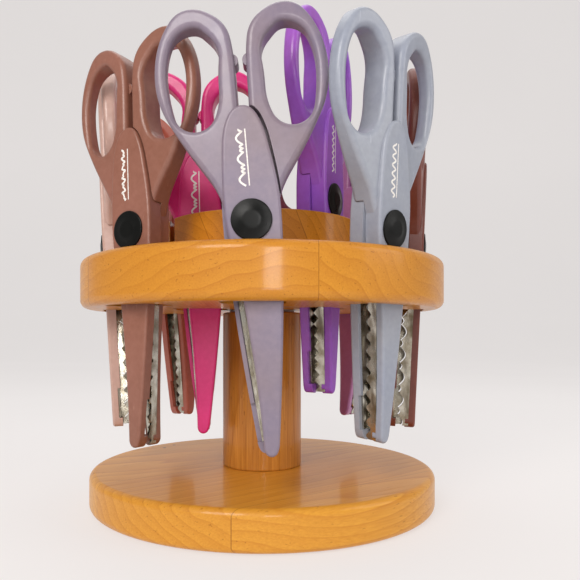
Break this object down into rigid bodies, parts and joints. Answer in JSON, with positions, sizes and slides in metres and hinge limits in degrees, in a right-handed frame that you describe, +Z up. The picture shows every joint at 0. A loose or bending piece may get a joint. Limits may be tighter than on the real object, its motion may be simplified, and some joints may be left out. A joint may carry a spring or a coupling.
{
  "type": "decorative edge scissors carousel set",
  "caption": "Pattern-edge paper scissors with plastic handles and shaped steel edges, hanging by their pivot caps in slots of a turning two-tier wooden carousel.",
  "frame": {"origin": "centre of the round base board, on its underside", "axes": "+Z up along the post; the side with the mauve grey pair faces -Y; +X to the right seen from there"},
  "size_m": [0.174, 0.174, 0.2235],
  "materials": {
    "pine": "clear gloss lacquer over glued pine boards",
    "dowel": "clear gloss lacquer, warm orange, grain upright",
    "screw_steel": "zinc plated",
    "washer_nylon": "natural nylon",
    "blade_steel": "bright stamped sheet",
    "pivot_black": "satin black moulded",
    "handle_a": "mauve grey moulded, soft gloss",
    "handle_b": "tan brown moulded, soft gloss",
    "handle_c": "grey lavender moulded, soft gloss",
    "handle_d": "dusty pink moulded, soft gloss",
    "handle_e": "maroon brown moulded, soft gloss",
    "handle_f": "salmon moulded, soft gloss",
    "handle_g": "orchid purple moulded, soft gloss",
    "handle_h": "dark maroon moulded, soft gloss",
    "handle_i": "hot pink moulded, soft gloss",
    "handle_j": "bright violet moulded, soft gloss"
  },
  "bodies": {
    "stand": {"stand_base": "pine", "stand_post": "dowel", "base_screws": "screw_steel", "spindle_screw": "screw_steel", "thrust_washer": "washer_nylon"},
    "carousel": {"ring_plate": "pine", "hub_disc": "pine", "hub_screws": "screw_steel", "hub_plug": "pine"},
    "a_front": {"a_front_half": "handle_a", "a_front_blade": "blade_steel", "a_pivot": "pivot_black"},
    "a_rear": {"a_rear_half": "handle_a", "a_rear_blade": "blade_steel"},
    "b_front": {"b_front_half": "handle_b", "b_front_blade": "blade_steel", "b_pivot": "pivot_black"},
    "b_rear": {"b_rear_half": "handle_b", "b_rear_blade": "blade_steel"},
    "c_front": {"c_front_half": "handle_c", "c_front_blade": "blade_steel", "c_pivot": "pivot_black"},
    "c_rear": {"c_rear_half": "handle_c", "c_rear_blade": "blade_steel"},
    "d_front": {"d_front_half": "handle_d", "d_front_blade": "blade_steel", "d_pivot": "pivot_black"},
    "d_rear": {"d_rear_half": "handle_d", "d_rear_blade": "blade_steel"},
    "e_front": {"e_front_half": "handle_e", "e_front_blade": "blade_steel", "e_pivot": "pivot_black"},
    "e_rear": {"e_rear_half": "handle_e", "e_rear_blade": "blade_steel"},
    "f_front": {"f_front_half": "handle_f", "f_front_blade": "blade_steel", "f_pivot": "pivot_black"},
    "f_rear": {"f_rear_half": "handle_f", "f_rear_blade": "blade_steel"},
    "g_front": {"g_front_half": "handle_g", "g_front_blade": "blade_steel", "g_pivot": "pivot_black"},
    "g_rear": {"g_rear_half": "handle_g", "g_rear_blade": "blade_steel"},
    "h_front": {"h_front_half": "handle_h", "h_front_blade": "blade_steel", "h_pivot": "pivot_black"},
    "h_rear": {"h_rear_half": "handle_h", "h_rear_blade": "blade_steel"},
    "i_front": {"i_front_half": "handle_i", "i_front_blade": "blade_steel", "i_pivot": "pivot_black"},
    "i_rear": {"i_rear_half": "handle_i", "i_rear_blade": "blade_steel"},
    "j_front": {"j_front_half": "handle_j", "j_front_blade": "blade_steel", "j_pivot": "pivot_black"},
    "j_rear": {"j_rear_half": "handle_j", "j_rear_blade": "blade_steel"}
  },
  "joints": [
    {"name": "carousel_spin", "type": "hinge", "parent": "stand", "child": "carousel", "pos_m": [0, 0, 0.0929], "axis": [0, 0, 1], "continuous": true},
    {"name": "a_lift", "type": "slide", "parent": "carousel", "child": "a_front", "axis": [-0.0736, -0.0097, 0.9972], "range_m": [0, 0.11]},
    {"name": "a_pivot_turn", "type": "hinge", "parent": "a_front", "child": "a_rear", "pos_m": [-0.00363, -0.07231, 0.12312], "axis": [0.0332, 0.9994, 0.0122], "range_deg": [-1.4, 0.8]},
    {"name": "b_lift", "type": "slide", "parent": "carousel", "child": "b_front", "axis": [-0.03, 0.0438, 0.9986], "range_m": [0, 0.11]},
    {"name": "b_pivot_turn", "type": "hinge", "parent": "b_front", "child": "b_rear", "pos_m": [-0.05057, -0.04983, 0.12319], "axis": [0.5357, 0.8441, -0.0209], "range_deg": [0, 1]},
    {"name": "c_lift", "type": "slide", "parent": "carousel", "child": "c_front", "axis": [0.0213, -0.0993, 0.9948], "range_m": [0, 0.11]},
    {"name": "c_pivot_turn", "type": "hinge", "parent": "c_front", "child": "c_rear", "pos_m": [0.04841, -0.05383, 0.12369], "axis": [-0.6807, 0.7274, 0.0872], "range_deg": [0, 1]},
    {"name": "d_lift", "type": "slide", "parent": "carousel", "child": "d_front", "axis": [-0.0672, 0.0681, 0.9954], "range_m": [0, 0.11]},
    {"name": "d_pivot_turn", "type": "hinge", "parent": "d_front", "child": "d_rear", "pos_m": [-0.07234, 0.00303, 0.12343], "axis": [0.9782, 0.2008, 0.0523], "range_deg": [0, 1]},
    {"name": "e_lift", "type": "slide", "parent": "carousel", "child": "e_front", "axis": [0.04, -0.0223, 0.999], "range_m": [0, 0.11]},
    {"name": "e_pivot_turn", "type": "hinge", "parent": "e_front", "child": "e_rear", "pos_m": [0.07238, -0.00153, 0.12336], "axis": [-0.9793, 0.1975, 0.0436], "range_deg": [0, 1]},
    {"name": "f_lift", "type": "slide", "parent": "carousel", "child": "f_front", "axis": [-0.0316, 0.044, 0.9985], "range_m": [0, 0.11]},
    {"name": "f_pivot_turn", "type": "hinge", "parent": "f_front", "child": "f_rear", "pos_m": [-0.04901, 0.05329, 0.12343], "axis": [0.7717, -0.6339, 0.0523], "range_deg": [0, 1]},
    {"name": "g_lift", "type": "slide", "parent": "carousel", "child": "g_front", "axis": [0.0411, 0.0353, 0.9985], "range_m": [0, 0.11]},
    {"name": "g_pivot_turn", "type": "hinge", "parent": "g_front", "child": "g_rear", "pos_m": [0.05329, 0.04901, 0.12343], "axis": [-0.5642, -0.824, 0.0523], "range_deg": [0, 1]},
    {"name": "h_lift", "type": "slide", "parent": "carousel", "child": "h_front", "axis": [0.0088, 0.0534, 0.9985], "range_m": [0, 0.11]},
    {"name": "h_pivot_turn", "type": "hinge", "parent": "h_front", "child": "h_rear", "pos_m": [0.00303, 0.07234, 0.12343], "axis": [0.0974, -0.9939, 0.0523], "range_deg": [0, 1]},
    {"name": "i_lift", "type": "slide", "parent": "carousel", "child": "i_front", "axis": [-0.0175, -0.0105, 0.9998], "range_m": [0, 0.11]},
    {"name": "i_pivot_turn", "type": "hinge", "parent": "i_front", "child": "i_rear", "pos_m": [-0.029, -0.0146, 0.1231], "axis": [0, 0.9999, 0.0105], "range_deg": [0, 5]},
    {"name": "j_lift", "type": "slide", "parent": "carousel", "child": "j_front", "axis": [0.0038, -0.0143, 0.9999], "range_m": [0, 0.11]},
    {"name": "j_pivot_turn", "type": "hinge", "parent": "j_front", "child": "j_rear", "pos_m": [0.027, -0.0224, 0.1421], "axis": [-0.866, 0.5, 0.0105], "range_deg": [0, 4]}
  ]
}
